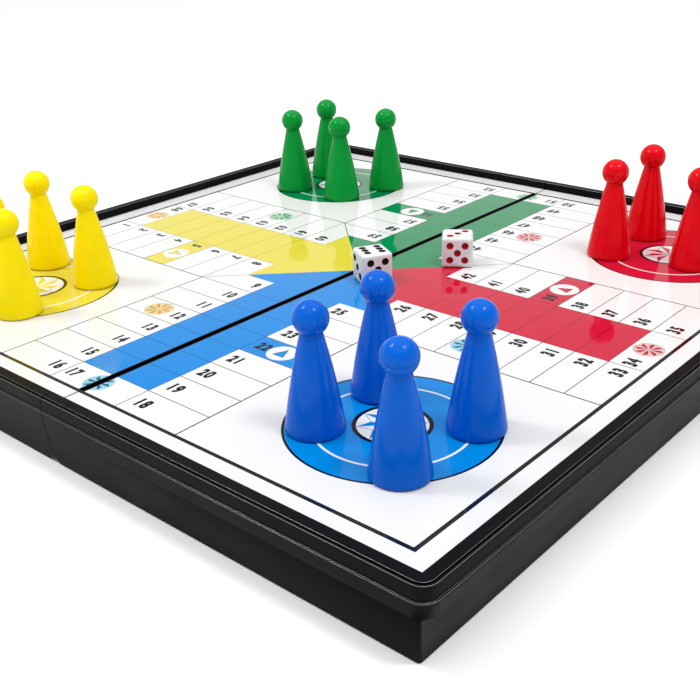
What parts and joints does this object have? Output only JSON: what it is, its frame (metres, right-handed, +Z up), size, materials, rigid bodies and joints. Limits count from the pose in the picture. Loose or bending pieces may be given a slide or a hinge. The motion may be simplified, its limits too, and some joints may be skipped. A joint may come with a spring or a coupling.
{
  "type": "folding board game set",
  "caption": "Black plastic case that opens flat into a square race-game board with a raised rim, joined by flush double-pivot hinges, with cone pawns and dice standing on it.",
  "frame": {"origin": "on the table, under the middle of the open board", "axes": "+Z up, the fold line runs along X, the back half lies at +Y"},
  "size_m": [0.2672, 0.2626, 0.0535],
  "materials": {
    "case_black": "fine matt black moulding",
    "printed_board": "white printed sheet under a glossy film",
    "steel": "plain steel",
    "magnet": "nickel plated",
    "pawn_blue": "glossy",
    "pawn_red": "glossy",
    "pawn_green": "glossy",
    "pawn_yellow": "glossy",
    "die_white": "polished white"
  },
  "bodies": {
    "front_half": {"front_case": "case_black", "front_play_surface": "printed_board", "front_steel_sheet": "steel", "hinge_pin_front_left": "steel", "hinge_pin_front_right": "steel", "closure_magnet_front_left": "magnet", "closure_magnet_front_right": "magnet"},
    "hinge_links": {"hinge_link_left": "steel", "hinge_link_right": "steel"},
    "back_half": {"back_case": "case_black", "back_play_surface": "printed_board", "back_steel_sheet": "steel", "hinge_pin_back_left": "steel", "hinge_pin_back_right": "steel", "closure_magnet_back_left": "magnet", "closure_magnet_back_right": "magnet"},
    "pawn_blue_1_body": {"pawn_blue_1": "pawn_blue", "pawn_magnet_blue_1": "magnet"},
    "pawn_blue_2_body": {"pawn_blue_2": "pawn_blue", "pawn_magnet_blue_2": "magnet"},
    "pawn_blue_3_body": {"pawn_blue_3": "pawn_blue", "pawn_magnet_blue_3": "magnet"},
    "pawn_blue_4_body": {"pawn_blue_4": "pawn_blue", "pawn_magnet_blue_4": "magnet"},
    "pawn_red_1_body": {"pawn_red_1": "pawn_red", "pawn_magnet_red_1": "magnet"},
    "pawn_red_2_body": {"pawn_red_2": "pawn_red", "pawn_magnet_red_2": "magnet"},
    "pawn_red_3_body": {"pawn_red_3": "pawn_red", "pawn_magnet_red_3": "magnet"},
    "pawn_red_4_body": {"pawn_red_4": "pawn_red", "pawn_magnet_red_4": "magnet"},
    "pawn_green_1_body": {"pawn_green_1": "pawn_green", "pawn_magnet_green_1": "magnet"},
    "pawn_green_2_body": {"pawn_green_2": "pawn_green", "pawn_magnet_green_2": "magnet"},
    "pawn_green_3_body": {"pawn_green_3": "pawn_green", "pawn_magnet_green_3": "magnet"},
    "pawn_green_4_body": {"pawn_green_4": "pawn_green", "pawn_magnet_green_4": "magnet"},
    "pawn_yellow_1_body": {"pawn_yellow_1": "pawn_yellow", "pawn_magnet_yellow_1": "magnet"},
    "pawn_yellow_2_body": {"pawn_yellow_2": "pawn_yellow", "pawn_magnet_yellow_2": "magnet"},
    "pawn_yellow_3_body": {"pawn_yellow_3": "pawn_yellow", "pawn_magnet_yellow_3": "magnet"},
    "pawn_yellow_4_body": {"pawn_yellow_4": "pawn_yellow", "pawn_magnet_yellow_4": "magnet"},
    "die_black_body": {"die_black_pips": "die_white"},
    "die_red_body": {"die_red_pips": "die_white"}
  },
  "joints": [
    {"name": "link_fold", "type": "hinge", "parent": "front_half", "child": "hinge_links", "pos_m": [0, -0.003, 0.00285], "axis": [1, 0, 0], "range_deg": [-90, 0]},
    {"name": "back_fold", "type": "hinge", "parent": "hinge_links", "child": "back_half", "pos_m": [0, 0.003, 0.00285], "axis": [1, 0, 0], "range_deg": [-90, 0]},
    {"name": "lift_pawn_blue_1", "type": "slide", "parent": "front_half", "child": "pawn_blue_1_body", "axis": [0, 0, 1], "range_m": [0, 0.04]},
    {"name": "lift_pawn_blue_2", "type": "slide", "parent": "front_half", "child": "pawn_blue_2_body", "axis": [0, 0, 1], "range_m": [0, 0.04]},
    {"name": "lift_pawn_blue_3", "type": "slide", "parent": "front_half", "child": "pawn_blue_3_body", "axis": [0, 0, 1], "range_m": [0, 0.04]},
    {"name": "lift_pawn_blue_4", "type": "slide", "parent": "front_half", "child": "pawn_blue_4_body", "axis": [0, 0, 1], "range_m": [0, 0.04]},
    {"name": "lift_pawn_red_1", "type": "slide", "parent": "front_half", "child": "pawn_red_1_body", "axis": [0, 0, 1], "range_m": [0, 0.04]},
    {"name": "lift_pawn_red_2", "type": "slide", "parent": "front_half", "child": "pawn_red_2_body", "axis": [0, 0, 1], "range_m": [0, 0.04]},
    {"name": "lift_pawn_red_3", "type": "slide", "parent": "front_half", "child": "pawn_red_3_body", "axis": [0, 0, 1], "range_m": [0, 0.04]},
    {"name": "lift_pawn_red_4", "type": "slide", "parent": "front_half", "child": "pawn_red_4_body", "axis": [0, 0, 1], "range_m": [0, 0.04]},
    {"name": "lift_pawn_green_1", "type": "slide", "parent": "back_half", "child": "pawn_green_1_body", "axis": [0, 0, 1], "range_m": [0, 0.04]},
    {"name": "lift_pawn_green_2", "type": "slide", "parent": "back_half", "child": "pawn_green_2_body", "axis": [0, 0, 1], "range_m": [0, 0.04]},
    {"name": "lift_pawn_green_3", "type": "slide", "parent": "back_half", "child": "pawn_green_3_body", "axis": [0, 0, 1], "range_m": [0, 0.04]},
    {"name": "lift_pawn_green_4", "type": "slide", "parent": "back_half", "child": "pawn_green_4_body", "axis": [0, 0, 1], "range_m": [0, 0.04]},
    {"name": "lift_pawn_yellow_1", "type": "slide", "parent": "back_half", "child": "pawn_yellow_1_body", "axis": [0, 0, 1], "range_m": [0, 0.04]},
    {"name": "lift_pawn_yellow_2", "type": "slide", "parent": "back_half", "child": "pawn_yellow_2_body", "axis": [0, 0, 1], "range_m": [0, 0.04]},
    {"name": "lift_pawn_yellow_3", "type": "slide", "parent": "back_half", "child": "pawn_yellow_3_body", "axis": [0, 0, 1], "range_m": [0, 0.04]},
    {"name": "lift_pawn_yellow_4", "type": "slide", "parent": "back_half", "child": "pawn_yellow_4_body", "axis": [0, 0, 1], "range_m": [0, 0.04]},
    {"name": "lift_die_black", "type": "slide", "parent": "front_half", "child": "die_black_body", "axis": [0, 0, 1], "range_m": [0, 0.04]},
    {"name": "lift_die_red", "type": "slide", "parent": "front_half", "child": "die_red_body", "axis": [0, 0, 1], "range_m": [0, 0.04]}
  ],
  "couplings": [
    {"joint": "link_fold", "follows": "back_fold", "ratio": 1}
  ]
}
